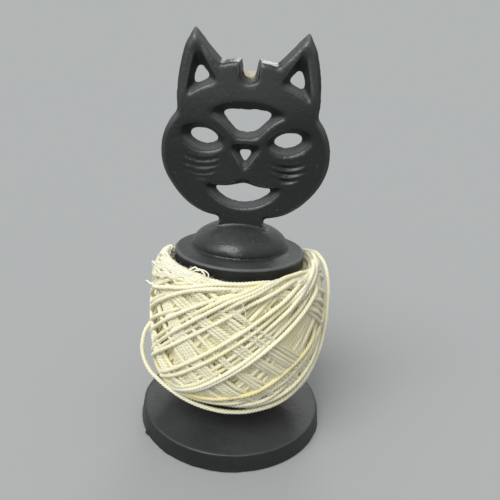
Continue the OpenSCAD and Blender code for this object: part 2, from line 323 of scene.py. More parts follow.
class Finish:
    # the nodes of one material or of the world
    def __init__(self, owner):
        owner.use_nodes = True
        self.owner = owner
        self.tree = owner.node_tree
        self.tree.nodes.clear()

    def node(self, kind, settings=None, links=None, out=0):
        made = self.tree.nodes.new(kind)
        for key, value in (settings or {}).items():
            setattr(made, key, value)
        for key, value in (links or {}).items():
            if isinstance(value, Wire):
                self.tree.links.new(value.socket, made.inputs[key])
            else:
                made.inputs[key].default_value = value
        return Wire(self, made.outputs[out]) if made.outputs else None

    def shown(self):
        # 1 for what is seen, also mirrored or through glass, and 0 for what only lights the holder
        camera, gloss, glass = (self.node("ShaderNodeLightPath", out=f"Is {kind} Ray")
                                for kind in ("Camera", "Glossy", "Transmission"))
        return (camera + gloss + glass).clamped()

    def place(self):
        return self.node("ShaderNodeTexCoord", out="Object")

    def noise(self, place, size, detail=3.0, rough=0.55):
        # noise with features of about size millimetres
        links = {"Vector": place, "Scale": 0.6 / (size * mm), "Detail": detail, "Roughness": rough}
        return self.node("ShaderNodeTexNoise", None, links)

    def mixed(self, share, a, b):
        # colours a and b, b at the given share
        pair = {k: (*v, 1) if isinstance(v, tuple) else v for k, v in ((6, a), (7, b))}
        return self.node("ShaderNodeMix", {"data_type": "RGBA"}, {0: share, **pair}, out=2)

    def value(self, name):
        return self.node("ShaderNodeAttribute", {"attribute_name": name}, out="Fac")

    def bump(self, height, depth, strength):
        # depth in millimetres
        return self.node("ShaderNodeBump", None, {"Height": height, "Distance": depth * mm, "Strength": strength})

    def finished(self, colour, roughness, normal=None, **constants):
        # constants are the shader's other sockets, their names written with _ for a space
        links = {"Base Color": colour, "Roughness": roughness}
        if normal is not None:
            links["Normal"] = normal
        links.update({key.replace("_", " "): value for key, value in constants.items()})
        shader = self.node("ShaderNodeBsdfPrincipled", None, links)
        self.node("ShaderNodeOutputMaterial", None, {"Surface": shader})
        return self.owner


def painted(name):
    # a new material, still without nodes
    return Finish(bpy.data.materials.new(name))


def floorFinish(s):
    # without gloss, so that the far floor has the backdrop's tone from every side
    f = painted("floorPaint")
    return f.finished(f.mixed(f.shown(), s["bounce"], s["floor"]), 1.0, IOR=1.0)


ironLooks = {
    "black": (0.0085, 0.0092, 0.0098),
    "dusty": (0.018, 0.0190, 0.0195),
    "wornAndHighlit": (0.17, 0.17, 0.165),
    "powderAndLight": (0.072, 0.078, 0.079),  # what settles on the upper sides, with painted sheen and highlights there
    "roughness": 0.31,
    "rawRoughness": 0.45,  # added where the skin is as it was cast
    "cloudSize": 22,  # sizes in millimetres
    "grainSize": 0.55,
    "pitSize": 1.5,
    "chipSize": 3.2,
    "patchSize": 13,  # of the places that have chips
}


def ironFinish(look):
    f = painted("satinBlackIron")
    place = f.place()
    cloud = f.noise(place, look["cloudSize"])
    grain = f.noise(place, look["grainSize"], 4.0, 0.6)
    pits = f.noise(place, look["pitSize"], 2.0)
    dust = (cloud * 0.7 + grain * 0.5).between(0.5, 0.85)
    colour = f.mixed(dust, look["black"], look["dusty"])
    # the dust value lightens towards the powder colour: real dust, and painted sheen, light and highlights where
    # light falls from above
    dustAndLight = (f.value("dust") * (0.45 + cloud * 1.1 - (grain - 0.5) * 1.6)).clamped()
    colour = f.mixed(dustAndLight, colour, look["powderAndLight"])
    # convex edges go lighter towards the worn colour: real wear, and a painted highlight line along the rounded
    # edges; the chips are real wear
    rubbedAndHighlit = (f.value("edge") * (0.6 + grain * 0.6)).between(0.55, 1.2)
    cells = f.node("ShaderNodeTexVoronoi", None, {"Vector": place, "Scale": 1 / (look["chipSize"] * mm)})
    spots = 1 - cells.between(0.05, 0.10)
    chips = spots * f.noise(place, look["patchSize"]).between(0.53, 0.60)
    colour = f.mixed((rubbedAndHighlit * 0.5 + chips * 0.8).clamped(), colour, look["wornAndHighlit"])
    roughness = look["roughness"] + (grain - 0.5) * 0.25 + (cloud - 0.5) * 0.2
    roughness = roughness + f.value("raw") * look["rawRoughness"]
    height = grain * 0.35 + pits.between(0.3, 0.46) * 0.9
    return f.finished(colour, roughness, f.bump(height, 0.10, 0.6), IOR=1.48)


steelLooks = {"colour": (0.50, 0.51, 0.52), "stain": (0.23, 0.20, 0.16), "roughness": 0.34}
bladeLooks = {"colour": (0.86, 0.80, 0.66), "stain": (0.40, 0.33, 0.22), "roughness": 0.42}


def steelFinish(name, look):
    f = painted(name)
    place = f.place()
    lines = f.noise(f.node("ShaderNodeMapping", None, {"Vector": place, "Scale": (1, 1, 14)}), 2.5)
    stain = f.noise(place, 6, 5.0, 0.65).between(0.5, 0.72)
    colour = f.mixed(stain * 0.6, look["colour"], look["stain"])
    roughness = look["roughness"] + stain * 0.25 + (lines - 0.5) * 0.2
    return f.finished(colour, roughness, f.bump(lines, 0.02, 0.6), Metallic=1.0)


cardLooks = {"colour": (0.40, 0.29, 0.17), "dark": (0.27, 0.19, 0.11), "wind": 24.0}


def cardFinish(look):
    # a card tube is wound from a strip, so its seam is a helix: sine of angle plus height
    f = painted("woundCard")
    place = f.place()
    parts = f.node("ShaderNodeSeparateXYZ", None, {0: place})
    across = Wire(f, parts.socket.node.outputs["Y"])
    upwards = Wire(f, parts.socket.node.outputs["Z"])
    turn = parts.maths("ARCTAN2", across)
    seam = (turn + upwards * (2 * math.pi / (look["wind"] * mm))).maths("SINE")
    seam = (seam * -1).between(0.985, 1.0)
    fibres = f.noise(place, 1.2, 5.0, 0.7)
    colour = f.mixed((seam * 0.7 + fibres * 0.5).clamped(), look["colour"], look["dark"])
    return f.finished(colour, 0.85, f.bump(fibres - seam, 0.08, 0.6))


cottonLooks = {
    "cream": (0.93, 0.895, 0.675),
    "yellow": (0.82, 0.70, 0.32),
    # shade: painted shade for strands that lie deeper and between the inner body's turns; hollow: painted shade in
    # the creases between plies
    "shade": (0.66, 0.61, 0.33),
    "hollow": (0.56, 0.51, 0.27),
    "patchSize": 9,  # of the yellower patches
    "ringPitch": 2.2,  # between the turns of the inner body
}


def cottonFinish(look):
    # the string's uv: u once round it, turning with its plies, v in millimetres along it. The plies' crests are
    # at thirds of u, so the crease between them is where the cosine of three times the turn is lowest
    f = painted("twistedCotton")
    spot = f.node("ShaderNodeUVMap", {"uv_map": "along"})
    lint = f.node("ShaderNodeMapping", None, {"Vector": spot, "Scale": (5, 1.1, 1)})
    lint = f.node("ShaderNodeTexNoise", {"noise_dimensions": "2D"}, {"Vector": lint, "Scale": 3.0, "Detail": 4.0})
    parts = f.node("ShaderNodeSeparateXYZ", None, {0: spot})
    crease = (1 - (parts * (6 * math.pi)).maths("COSINE")) * 0.5
    crease = crease.between(0.35, 1.0) * f.value("twisted")
    place = f.place()
    patch = f.noise(place, look["patchSize"])
    stained = (f.value("tone") + patch * 0.9).between(0.5, 1.45)
    colour = f.mixed(stained, look["cream"], look["yellow"])
    # painted shade: strands that lie deeper under the outline go darker towards the shade colour
    depth = (f.value("depth") + (lint - 0.5) * 0.2).clamped()
    colour = f.mixed(depth * 0.35, colour, look["shade"])
    # painted shade in the creases between the plies
    colour = f.mixed(crease * 0.42, colour, look["hollow"])
    return f.finished(colour, 0.88, f.bump(lint - crease, 0.13, 0.7), Sheen_Weight=0.08, Sheen_Roughness=0.4,
                      Subsurface_Weight=0.5, Subsurface_Radius=(1.0, 0.9, 0.6), Subsurface_Scale=1.6 * mm)


def innerCottonFinish(look):
    # packed turns lying round the tube: rings, a sine of 20 scale times the distance from the axis, with painted
    # shade between the turns
    f = painted("packedCotton")
    place = f.place()
    rings = f.node("ShaderNodeTexWave", {"wave_type": "RINGS", "rings_direction": "Z"}, {
        "Vector": place, "Scale": 2 * math.pi / (20 * look["ringPitch"] * mm), "Distortion": 1.2, "Detail": 2.0})
    strength = (rings * 0.8 + f.noise(place, 1.2) * 0.4).clamped()
    colour = f.mixed(strength, look["shade"], look["cream"])
    return f.finished(colour, 0.9, f.bump(rings, 0.9, 0.9))


print("materials")
iron = ironFinish(ironLooks)
steel = steelFinish("dullSteel", steelLooks)
bladeSteel = steelFinish("bladeSteel", bladeLooks)
card = cardFinish(cardLooks)
cotton = cottonFinish(cottonLooks)
innerCotton = innerCottonFinish(cottonLooks)

makeCamera(viewpoint)
makeStudio(studio)
print("camera and studio")


# Foot

foot = {
    "segments": 400,
    "bore": 4.0,
    "counterbore": (11.0, 5.2),  # radius and height
    "hollow": (7.0, 6.2, 1.6),  # its edge's distance from the rim, above and at the floor, and its height
    "rimInset": 1.25,  # how much smaller the upper edge is than the lower
    "rimRound": 1.0,
    "wave": 0.12,  # height of the casting's unevenness
    "nibAngle": 213,  # flash left at the lower edge of the foot, seen from above
    "nibSize": (1.3, 1.5),  # how far it stands out, and its half width
    "burr": 0.3,  # height of the roughness along the lower edge
    # dust with painted sheen on the top of the foot
    "dust": 0.42,
    "raw": 0.35,  # share of the rough skin left by casting
}


def normalsOf(surface):
    # cross product of the surface's steps along its two parameters
    du, dv = (np.roll(surface, -1, k) - np.roll(surface, 1, k) for k in (0, 1))
    return unit(np.cross(dv, du))


def makeFoot(f):
    r, _, h = boxOf("base_casting")[1]
    bore, (nut, ceiling), (above, below, hollow) = f["bore"], f["counterbore"], f["hollow"]
    rim = r - f["rimInset"]
    profile = np.array([
        [bore, ceiling], [nut, ceiling], [nut, hollow], [r - above, hollow], [r - below, 0.02], [r - 0.5, 0.02],
        [r - 0.02, 0.5], [rim, h - 0.05], [bore, h - 0.05], [bore, ceiling]])
    profile = refined(rounded(profile, f["rimRound"], 6), 0.9)[:-1]
    surface = revolve(*profile.T[..., None], f["segments"])
    n = normalsOf(surface)
    flat = surface.reshape(-1, 3)
    wave = (ripple(flat, (7, 30), 3) * 0.6 + ripple(flat, (1.6, 4), 4) * 0.3).reshape(n.shape[:2])
    outer = np.clip((profile[:, 0] - 6) / 6, 0, 1)[:, None] * np.clip(profile[:, 1] / 1.5, 0, 1)[:, None]
    surface = surface + n * (np.minimum(wave, 0.9) * f["wave"] * outer)[..., None]
    # the nib is a hump over the angle, strongest at mid-height of the side
    x, y, z = np.moveaxis(surface, -1, 0)
    t = np.degrees(np.arctan2(y, x)) % 360
    reach, width = f["nibSize"]
    outside = np.hypot(x, y) > r - 1.6
    rough = ripple(surface.reshape(-1, 3), (4, 12), 7).reshape(t.shape)
    burr = f["burr"] * np.clip(rough - 0.5, 0, 1) * hump(z - 0.7, 0.7) * outside
    nib = reach * hump((t - f["nibAngle"]) * math.radians(r), width) * (hump(z - 1.6, 1.3) * outside)
    surface[..., :2] *= (1 + (nib + burr) / r)[..., None]
    # the rim's upper edge: worn metal with a painted highlight line
    edge = hump(np.linalg.norm(profile - [rim, h], axis=1), 0.9)[:, None] + 0 * t
    # dust and painted sheen: the upward faces of the top lighter
    dust = f["dust"] * ramp((n[..., 2] - 0.5) * 2) * ramp((z - h / 2) / 2)
    values = {"edge": edge, "dust": dust, "raw": f["raw"]}
    settle(addClosed("footCasting", surface, iron, values), "base", "base_casting")


# Head

head = {
    "voxel": 0.53,
    "passes": 9,  # of smoothing, and of the smoothing that the worn edges with their painted highlight are found with
    "edgePasses": 14,
    "neck": (110, 7),  # height and reach of the part where the neck runs softly into the dome
    "neckPasses": 16,
    # the turned part, radius and height: flange from its underside to the foot of the dome, then the dome's own
    # radius, foot and height
    "flange": [(28, 92), (33.1, 92), (33.1, 98.4), (24.9, 100.2)],
    "dome": (24.5, 100.3, 12.2),
    "neckSides": (11.0, 6.8, 113.8),  # half width, distance of the front from the axis, and height of the corners
    "fillet": (0.15, 1.0),  # heights above the dome between which the neck's flare ends
    # dust with painted sheen on the upper faces of flange and dome
    "dust": 0.43,
    "dusty": (99.6, 113),  # heights between which the flange and dome have dust and painted sheen
    "flangeRaw": 0.45,  # share of rough skin on the flange
    "browLight": (0.3, 160),  # painted light: the upper half of the face lighter, and where that starts
    "ledgeDustAndLight": (0.8, 115),  # dust and painted light on the lower walls of the openings, and where they start
    "rimHighlight": 0.8,  # painted highlight on edges that face upwards, but not by the notch, which is
    "notch": (176, 15),  # above this height and within this distance from the middle
    "wave": 0.05,
    # inner end, outer end and sag of each whisker line, x and z
    "whiskers": [(11.6, 143.6, 29.4, 144.1, 2.3), (11.6, 140.4, 29.8, 140.6, 2.0), (13.4, 137.1, 27.2, 136.9, 1.9)],
    "whiskerDepth": 0.42,
    "whiskerGroove": 0.75,  # half width
    "whiskerRidge": (0.45, 1.45, 0.6),  # share of the depth, distance from the groove and half width
    "whiskerShift": (1.5, 0.3),  # how much higher they lie on the left and on the right
}


def relaxed(points, edges, passes):
    # each pass moves a point half way to the mean of its neighbours
    count = np.bincount(edges.ravel(), minlength=len(points)).astype(float)
    for _ in range(passes):
        total = np.stack([np.bincount(edges[:, 0], points[edges[:, 1], k], len(points))
                          + np.bincount(edges[:, 1], points[edges[:, 0], k], len(points)) for k in range(3)], -1)
        points = 0.5 * points + 0.5 * total / count[:, None]
    return points


def trued(flat, h):
    # points close to the turned part's profile are moved onto it: the nearest place on each of its segments is
    # a + (b - a) clamp((p - a)(b - a) / |b - a|^2), in radius and height
    radius, foot, tall = h["dome"]
    t = np.radians(np.linspace(2, 75, 30))
    arc = np.stack([radius * np.cos(t), foot + tall * np.sin(t)], -1)
    profile = np.concatenate([rounded(h["flange"], 0.5, 4), arc])
    at = np.stack([np.hypot(flat[:, 0], flat[:, 1]), flat[:, 2]], -1)
    near = np.nonzero((at[:, 1] < foot + tall) & (at[:, 0] > 6))[0]
    at = at[near]
    a, step = profile[:-1], np.diff(profile, axis=0)
    share = np.clip(((at[:, None] - a) * step).sum(-1) / (step * step).sum(-1), 0, 1)
    found = a + step * share[..., None]
    apart = np.linalg.norm(found - at[:, None], axis=-1)
    best = apart.argmin(1)
    line = np.arange(len(near))
    weight = 1 - ramp((apart[line, best] - 0.45) / 0.5)
    moved = at + (found[line, best] - at) * weight[:, None]
    flat = flat.copy()
    flat[near, :2] *= (moved[:, 0] / at[:, 0])[:, None]
    flat[near, 2] = moved[:, 1]
    return flat


def slimmed(flat, h):
    # the foot of the neck flares only close to the dome: what stands out past the neck's sides is taken away by
    # ramp((e - low) / (high - low)), where e is the height above the dome
    radius, foot, tall = h["dome"]
    half, front, top = h["neckSides"]
    low, high = h["fillet"]
    x, y, z = flat.T
    above = z - foot - tall * np.sqrt(np.clip(1 - (x * x + y * y) / radius ** 2, 0, 1))
    share = ramp((above - low) / (high - low)) * (z < top + 4) * (np.abs(x) < half + 5)
    out = flat.copy()
    out[:, 0] -= np.sign(x) * np.clip(np.abs(x) - half, 0, 3) * share * ramp((top - z) / 0.8)
    out[:, 1] += (np.clip(-front - y, 0, 3) - np.clip(y, 0, 3)) * share
    return out


def meshArrays(mesh):
    points = np.zeros(len(mesh.vertices) * 3, np.float32)
    mesh.vertices.foreach_get("co", points)
    edges = np.zeros(len(mesh.edges) * 2, np.int32)
    mesh.edges.foreach_get("vertices", edges)
    normals = np.zeros(len(mesh.vertices) * 3, np.float32)
    mesh.vertex_normals.foreach_get("vector", normals)
    return points.reshape(-1, 3).astype(float), edges.reshape(-1, 2), normals.reshape(-1, 3).astype(float)


def whiskerLines(flat, h):
    # height of the whisker lines: a groove between two ridges, humps of the distance from an arc that sags
    # by sag * 4 t (1 - t), fading out at both ends as the root of sin(pi t)
    tall, apart, wide = h["whiskerRidge"]
    x, _, z = flat.T
    total = np.zeros(len(flat))
    for x0, z0, x1, z1, sag in h["whiskers"]:
        t = (np.abs(x) - x0) / (x1 - x0)
        d = z - (z0 + (z1 - z0) * t - sag * 4 * t * (1 - t)) - np.where(x < 0, *h["whiskerShift"])
        fade = np.sqrt(np.sin(np.pi * np.clip(t, 0, 1)))
        total += fade * (tall * hump(np.abs(d) - apart, wide) - hump(d, h["whiskerGroove"]))
    return total * h["whiskerDepth"]


def setPoints(mesh, points):
    mesh.vertices.foreach_set("co", points.astype(np.float32).ravel())
    mesh.update()


def voxelCopy(node, name, size):
    # a CAD piece's shape in even faces of the given size
    mesh = nodes[node].data.copy()
    work = bmesh.new()
    work.from_mesh(mesh)
    bmesh.ops.remove_doubles(work, verts=work.verts, dist=1e-6)
    work.to_mesh(mesh)
    work.free()
    piece = bpy.data.objects.new(name, mesh)
    scene.collection.objects.link(piece)
    remesh = piece.modifiers.new("voxels", "REMESH")
    remesh.mode = "VOXEL"
    remesh.voxel_size = size * mm
    remesh.adaptivity = 0
    evaluated = piece.evaluated_get(bpy.context.evaluated_depsgraph_get())
    fine = bpy.data.meshes.new_from_object(evaluated)
    piece.modifiers.clear()
    piece.data = fine
    fine.name = name
    return piece


def headMarks(flat, normals, edge, h):
    # dust, painted light and rough skin. What lies behind the face's front is left as it was cast, with dust and
    # painted light on the ledges
    x, y, z = flat.T
    (foot, side), (low, high) = h["notch"], h["dusty"]
    (browLight, brow), (ledgeDustAndLight, ledges) = h["browLight"], h["ledgeDustAndLight"]
    notch = ramp((z - foot) / 4) * ramp((side - np.abs(x)) / 2)
    raw = ramp(y + 6.2) * ramp((z - ledges) / 3) * (1 - notch) + h["flangeRaw"] * (1 - ramp((z - low) / 0.8))
    # painted highlight line along edges that face upwards
    rims = h["rimHighlight"] * edge * (np.abs(z - 107) > 8) * (1 - notch)
    # dust and painted sheen on the upward faces of flange and dome
    dust = h["dust"] * ramp((normals[:, 2] - 0.1) * 1.4) * ramp((z - low) / 1.6) * ramp((high - z) / 3)
    # painted light: the face lighter towards the top, as light falls from above
    dust = dust + browLight * ramp((z - brow) / 18) * ramp(-normals[:, 1] * 2 - 0.6)
    # dust and painted light on the openings' lower walls, and painted highlight on edges that face upwards
    dust = dust + ramp(normals[:, 2] * 2 - 0.3) * (ledgeDustAndLight * raw + rims)
    return np.clip(dust, 0, 1), raw


def makeHead(h):
    piece = voxelCopy("head_casting", "headCasting", h["voxel"])
    mesh = piece.data
    points, edges, _ = meshArrays(mesh)
    points = relaxed(points, edges, h["passes"])
    soft = relaxed(points, edges, h["neckPasses"])
    middle, reach = h["neck"]
    share = hump(np.square(points[:, 2] / mm - middle), reach ** 2)[:, None]
    setPoints(mesh, slimmed(trued((points * (1 - share) + soft * share) / mm, h), h) * mm)
    points, edges, normals = meshArrays(mesh)
    flat = points / mm
    wave = ripple(flat, (6, 24), 11) * 0.7 + ripple(flat, (1.4, 3.5), 12) * 0.3
    # convex edges: how far a point stands proud of the mean of its surroundings
    proud = ((points - relaxed(points, edges, h["edgePasses"])) * normals).sum(1)
    edge = np.clip(proud / (0.16 * mm) - 0.15, 0, 1)
    front = np.clip(-normals[:, 1] * 2 - 0.8, 0, 1) * np.clip(-flat[:, 1] - 5.2, 0, 1)
    lines = whiskerLines(flat, h) * front
    setPoints(mesh, points + normals * ((np.clip(wave, -1.5, 1.0) * h["wave"] + lines) * mm)[:, None])
    dust, raw = headMarks(flat, normals, edge, h)
    addValues(mesh, {"edge": edge, "dust": dust, "raw": raw})
    mesh.polygons.foreach_set("use_smooth", np.ones(len(mesh.polygons), bool))
    mesh.materials.clear()
    mesh.materials.append(iron)
    mesh.update()
    settle(piece, "head", "head_casting")
    print("head:", len(mesh.polygons), "faces")


# Spindle, nut, washer and screws

hardware = {
    "threadPitch": 1.41,
    "threadDepth": 0.55,
    "threadRadius": 3.93,
    "threadStep": 0.176,  # between the rings that draw the thread
    "shankChamfer": (0.25, 0.4),  # across and along
    "endChamfer": 0.75,
    "nutBore": 3.95,
    "nutFace": 0.95,  # radius of its flat face, in half widths
    "washerBore": 4.2,
    "slotWidth": 0.55,
    "slotDepth": 0.6,
    "headHeight": 1.15,
    "screwTurns": (24, -58),  # of the slots, degrees
}


def makeSpindle(h):
    # radius over height and angle: shank or thread radius, less the thread's triangle wave of z / pitch - angle
    low, high = boxOf("spindle")
    start, stop = boxOf("base_casting")[1][2], boxOf("core_tube")[1][2] + 0.3  # the shank between the threads
    shank, thread, step = high[0], h["threadRadius"], h["threadStep"]
    z = np.concatenate([np.arange(low[2], start, step), np.linspace(start, stop, 30),
                        np.arange(stop + 0.02, high[2], step), [high[2]]])[:, None]
    sides = 48
    turned = (z / h["threadPitch"] - np.arange(sides) / sides) % 1
    groove = h["threadDepth"] * np.clip(np.abs(2 * turned - 1) * 1.25 - 0.12, 0, 1)
    across, along = h["shankChamfer"]
    plain = shank - across * np.clip(1 - np.minimum(z - start, stop - z) / along, 0, 1)
    ends = thread - h["endChamfer"] + np.minimum(z - low[2], high[2] - z)
    r = np.where((z >= start) & (z <= stop), plain, np.minimum(thread - groove, ends))
    surface = revolve(r, z, sides)
    faces = [gridFaces(len(z), sides), fanFaces(range(sides))[:, ::-1],
             fanFaces((len(z) - 1) * sides + np.arange(sides))]
    settle(addPiece("spindleRod", surface.reshape(-1, 3) * mm, faces, steel), "base", "spindle", 50)


def makeNut(g):
    # hexagon of radius half width / cos(angle), its corners cut by a cone of 30 degrees from both faces
    low, high = boxOf("base_nut")
    half, bore, h = (high[1] - low[1]) / 2, g["nutBore"], high[2] - low[2]
    t = circle(72)
    hexagon = half / np.cos((t % (np.pi / 3)) - np.pi / 6)
    face, mouth = g["nutFace"] * half, 0.4
    cut = np.maximum(hexagon - face, 0) * math.tan(math.radians(30))
    r = [bore, bore + mouth, face, hexagon, hexagon, face, bore + mouth, bore]
    z = [mouth, 0, 0, cut, h - cut, h, h, h - mouth]
    r, z = (np.stack([c + 0 * t for c in rows]) for rows in (r, z))
    settle(addClosed("hexNut", revolve(r, z + low[2], len(t)), steel), "base", "base_nut", 20)


def makeWasher(h):
    low, high = boxOf("base_washer")
    r, bore, middle = high[0], h["washerBore"], (low[2] + high[2]) / 2
    profile = rounded([[bore, middle], [bore, low[2]], [r, low[2]], [r, high[2]], [bore, high[2]], [bore, middle]],
                      0.25, 4)[:-1]
    settle(addClosed("flatWasher", revolve(*profile.T[..., None], 96), steel), "base", "base_washer")


def makeScrews(h):
    # head: a square grid pressed into a disc, domed as the square root of 1 - radius^2, with a straight slot
    low, high = boxOf("cutter_screws")
    blade = boxOf("cutter_blade")[1][1]
    radius = (high[2] - low[2]) / 2
    w = h["slotWidth"] / 2 / radius
    u = np.concatenate([np.linspace(-1, -w - 0.04, 12), [-w, -w + 0.02, 0, w - 0.02, w],
                        np.linspace(w + 0.04, 1, 12)])
    u, v = np.meshgrid(u, np.linspace(-1, 1, 25), indexing="ij")
    x, y = u * np.sqrt(1 - v * v / 2), v * np.sqrt(1 - u * u / 2)
    dome = h["headHeight"] * (0.3 + 0.7 * np.sqrt(np.clip(1 - x * x - y * y, 0, 1)))
    dome = np.where(np.abs(u) < w - 0.01, np.maximum(dome - h["slotDepth"], 0.15), dome)
    top = gridFaces(*u.shape, closedColumns=False)
    index = np.arange(u.size).reshape(u.shape)
    border = np.concatenate([index[:-1, 0], index[-1, :-1], index[:0:-1, -1], index[0, :0:-1]])
    after = np.roll(border, -1)
    wall = np.stack([border + u.size, after + u.size, after, border], -1)
    for name, side, turn in zip(("screwLeft", "screwRight"), (-1, 1), h["screwTurns"]):
        c, s = math.cos(math.radians(turn)), math.sin(math.radians(turn))
        middle = side * (high[0] - radius)
        px, pz = radius * (x * c - y * s) + middle, radius * (x * s + y * c) + (low[2] + high[2]) / 2
        points = np.stack([[px, blade + dome, pz], [px, blade + 0 * dome + 0.01, pz]]).transpose(0, 2, 3, 1)
        piece = addPiece(name, points.reshape(-1, 3) * mm, [top, top[:, ::-1] + u.size, wall], steel)
        settle(piece, "head", "cutter_screws", 40)


# String

ball = {
    # outline over the string, radius and height, from the hole underneath up and over the rim to the hole on top
    "outline": [
        (8.6, 13.5), (12, 11.9), (17, 11.3), (23, 12.8), (29, 16.2), (34, 20.8), (39, 26.6), (42.7, 33), (45.1, 41),
        (46.2, 52), (46.4, 62), (45.8, 74), (44.3, 84), (42.2, 91), (39.8, 95.2), (37.4, 96.4), (35.7, 95.4),
        (34.9, 93.6), (34.4, 92.0), (32.6, 91.2), (29, 91), (20, 91), (8.6, 91)],
    "inside": [
        (7.6, 18.4), (18, 17.4), (27, 20.5), (33.6, 26.4), (37.8, 35), (40.4, 46), (41.2, 60), (40.6, 74),
        (38.6, 82.5), (35.0, 84.8), (7.6, 84.8)],
    "middle": 60.0,  # height that the rises are counted from
    "thick": 2.3,
    "ply": 5.2,  # length in which the three plies turn once
    "lean": 0.5,  # how far the ball sits to the right on its tube
    # compass way, half width in degrees and height of the places where the ball isn't round. Below 44 mm the
    # underside grows flatter, above 86 mm the rim dips
    "flatUnderside": (262, 45, 4.5),
    "dippedRim": [(268, 28, 1.8), (138, 32, 5)],
    "overRim": (37, 3),  # arc length at which the outline has passed the rim, and reach of the change there
}

# the layers, deepest first: name, depth under the outline, how far the string wanders, whether it is drawn with its
# plies, and whether its turns are steady over the front half. A row is a turn's number, the compass way of its high
# side, how far it rises and falls along the outline, how far its middle is shifted up, and how yellow it is
windings = [
    ("stringDeep", 4.2, 0.7, False, False, [
        (0, 80, 67, 0, 0.3), (25, 180, 61, 0, 0.3), (50, 275, 66, 0, 0.3)]),
    ("stringUnder", 3.4, 0.7, False, False, [
        (0, 275, 56, 0, 0.3), (22, 355, 50, 0, 0.3), (48, 445, 55, 0, 0.3)]),
    ("stringFan", 2.7, 0.4, True, False, [
        (0, 32, 54, 0, 0.1), (3, 41, 52, 0, 0.2), (6, 52, 49, 0, 0.1), (12, 98, 46, -10, 0.25),
        (21, 95, 44, 10, 0.1)]),
    ("stringCross", 2.25, 0.3, True, False, [
        (0, 186, 30, -14, 0.1), (9, 188, 30, 8.5, 0.2), (11, 150, 46, -14, 0), (20, 150, 44, 8.5, 0.1),
        (22, 213, 38, -17, 0.05), (31, 211, 36, 5.5, 0.2)]),
    ("stringLow", 1.4, 0.34, True, True, [
        (0, 112, 33, 0, 0.1), (1, 99, 31.6, 0, 0.1), (2, 88, 33, 0.5, 0), (3, 78.9, 35.2, -0.8, 0.1),
        (4, 70, 35, -1.6, 0), (5, 62, 31.5, -2.6, 0.2), (6, 54.9, 28.6, -0.8, 0.68)]),
    ("stringOuter", 1.15, 0.34, True, True, [
        (0, -100, 38, 0, 0.1), (1, -92, 33, 0, 0.2), (2, -84, 35.7, 0, 0.1), (3, -73, 31, 0, 0.3),
        (4, -62.6, 34.3, 0, 0.05), (5, -52.1, 39.5, 0, 0.3), (6, -47.6, 38.8, 0, 0.15), (7, -41.7, 38.3, 0, 0.3),
        (8, -38, 35.7, 0, 0.1), (9, -15.1, 36.6, 0.3, 0.25), (10, -9, 35.6, 0.2, 0.35), (11, 0.5, 39.9, -0.3, 0.2),
        (12, 4.3, 38.5, -0.5, 0.4), (13, 5.2, 38, -2.9, 0.15), (14, 6.4, 36.5, -4.6, 0)]),
]

laying = {
    "perTurn": 290,  # points laid in a turn
    "first": 0.3,  # turn that a layer with a steady front half starts at
    "steady": (0.52, 0.97),  # the front half, in turns
    "evened": 41,  # points that the changes from turn to turn are spread over
    "knots": 0.25,  # turns between the places where the string wanders
    "columns": 300,  # of the map of heights, round the ball
    "rows": 220,  # of that map, along the outline
    "hollow": 7,  # cells on each side that a hollow is measured against
    "bridge": 4,  # points on each side that a taut string lies over
}


sides = 6  # corners of a string
mostTriangles = 190000  # in one piece


class Outline:
    # the ball's outline by arc length s, which is 0 at the middle height and rises upwards
    def __init__(self, b):
        self.ball = b
        self.rz = curveThrough(b["outline"], 3000)
        length = lengthAlong(self.rz)
        near = np.argmin(np.abs(self.rz[:, 1] - b["middle"]) + 100 * (self.rz[:, 0] < 40))
        self.s = length - length[near]
        self.slope = np.gradient(self.rz, self.s, axis=0)

    def at(self, s):
        # radius, height, and the outward normal's parts along the radius and the height
        r, z, dr, dz = (np.interp(s, self.s, c) for c in (*self.rz.T, *self.slope.T))
        n = np.hypot(dr, dz)
        return r, z, dz / n, -dr / n

    def place(self, a, s, depth):
        # points and outward ways at angle a, arc length s and depth under the outline. Over the rim the depth is
        # kept to more than half a string, so that the string clears the flange
        b = self.ball
        r, z, nr, nz = self.at(s)
        rim, reach = b["overRim"]
        depth = np.maximum(depth, (b["thick"] / 2 + 0.05) * ramp((s - rim) / reach))
        r, z = r - depth * nr, z - depth * nz
        z = z + bell(a, b["flatUnderside"]) * ramp((44 - z) / 26)
        z = z - sum(bell(a, dip) for dip in b["dippedRim"]) * ramp((z - 86) / 8)
        return polar(r, a, z) + [b["lean"], 0, 0], polar(nr, a, nz)


def bell(a, place):
    # a hump of the angle from the way
    way, width, height = place
    apart = (np.degrees(a) - way + 180) % 360 - 180
    return height * hump(apart, width)


def averaged(values, count):
    # running mean over an odd count of values, the first and the last held
    padded = np.pad(values, count // 2, mode="edge")
    return np.convolve(padded, np.ones(count) / count, mode="valid")


def layTurns(g):
    # every layer is one curve, s = shift + rise cos(2 pi u - way), with u counting turns
    draw = np.random.default_rng(21)
    laid = []
    for name, level, uneven, close, hold, rows in windings:
        rows = np.array(rows, float)
        at, last = rows[:, 0], rows[-1, 0]
        start, stop = (g["first"], last + g["steady"][1]) if hold else (0, last)
        u = np.linspace(start, stop, int(last * g["perTurn"]) + 1)
        if hold:
            at = np.ravel(rows[:, :1] + g["steady"])
            rows = np.repeat(rows, 2, axis=0)
        way, rise, shift, tone = (averaged(np.interp(u, at, c), g["evened"]) for c in rows[:, 1:].T)
        knots = np.arange(0, last + 1.3, g["knots"])
        drift = smoothCurve(knots, draw.normal(0, uneven, (len(knots), 2)), u)
        a = 2 * np.pi * u
        s = shift + drift[:, 0] + (rise + drift[:, 1]) * np.cos(a - np.radians(way))
        tone = tone + np.interp(u, knots, draw.uniform(-0.15, 0.15, len(knots)))
        laid.append({"name": name, "level": level, "close": close, "a": a, "s": s, "tone": tone})
    return laid


